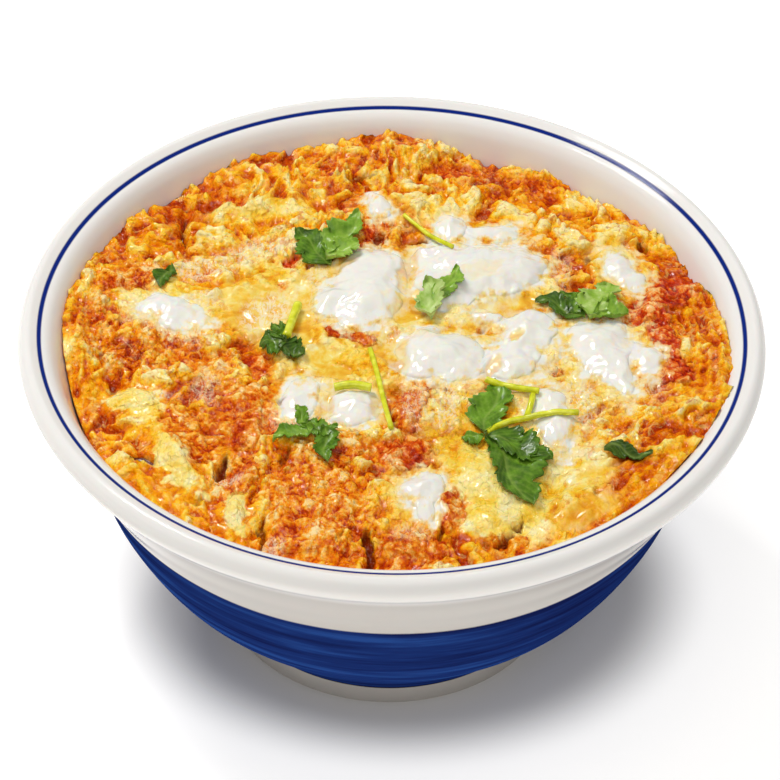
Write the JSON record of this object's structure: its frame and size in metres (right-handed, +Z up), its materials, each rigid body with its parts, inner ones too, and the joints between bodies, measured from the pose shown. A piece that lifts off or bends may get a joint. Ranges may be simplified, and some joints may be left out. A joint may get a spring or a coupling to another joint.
{
  "type": "katsudon pork cutlet and egg rice bowl",
  "caption": "Round footed bowl with a rolled lip, filled with breaded pork cutlet slices set in soft egg and topped with green leaves.",
  "frame": {"origin": "centre of the foot ring's underside, where the bowl stands", "axes": "+Z up along the bowl's turning axis, -Y towards the viewer's side, +X to the right"},
  "size_m": [0.176, 0.176, 0.0866],
  "materials": {
    "glazed_ceramic": "glossy white glaze with a brushed blue band",
    "soft_egg": "moist",
    "cutlet_crust": "moist crumb",
    "egg_white": "wet",
    "egg_curd": "wet",
    "broth": "liquid",
    "leaf": "satin",
    "stem": "satin"
  },
  "bodies": {
    "root": {"bowl": "glazed_ceramic", "egg_bed": "soft_egg", "cutlet_slice_1": "cutlet_crust", "cutlet_slice_2": "cutlet_crust", "cutlet_slice_3": "cutlet_crust", "cutlet_slice_4": "cutlet_crust", "cutlet_slice_5": "cutlet_crust", "cutlet_slice_6": "cutlet_crust", "cutlet_slice_7": "cutlet_crust", "egg_white_1": "egg_white", "egg_white_2": "egg_white", "egg_white_3": "egg_white", "egg_white_4": "egg_white", "egg_white_5": "egg_white", "egg_white_6": "egg_white", "egg_white_7": "egg_white", "egg_white_8": "egg_white", "egg_white_9": "egg_white", "egg_white_10": "egg_white", "egg_white_11": "egg_white", "egg_white_12": "egg_white", "egg_white_13": "egg_white", "egg_white_14": "egg_white", "egg_white_15": "egg_white", "egg_white_16": "egg_white", "egg_curd_1": "egg_curd", "egg_curd_2": "egg_curd", "egg_curd_3": "egg_curd", "egg_curd_4": "egg_curd", "egg_curd_5": "egg_curd", "egg_curd_6": "egg_curd", "broth": "broth", "mitsuba_leaf_1": "leaf", "mitsuba_leaf_2": "leaf", "mitsuba_leaf_3": "leaf", "mitsuba_leaf_4": "leaf", "mitsuba_leaf_5": "leaf", "mitsuba_leaf_6": "leaf", "mitsuba_leaf_7": "leaf", "mitsuba_leaf_8": "leaf", "mitsuba_leaf_9": "leaf", "mitsuba_leaf_10": "leaf", "mitsuba_leaf_11": "leaf", "stem_1": "stem", "stem_2": "stem", "stem_3": "stem", "stem_4": "stem", "stem_5": "stem", "stem_6": "stem", "stem_7": "stem"}
  },
  "joints": []
}
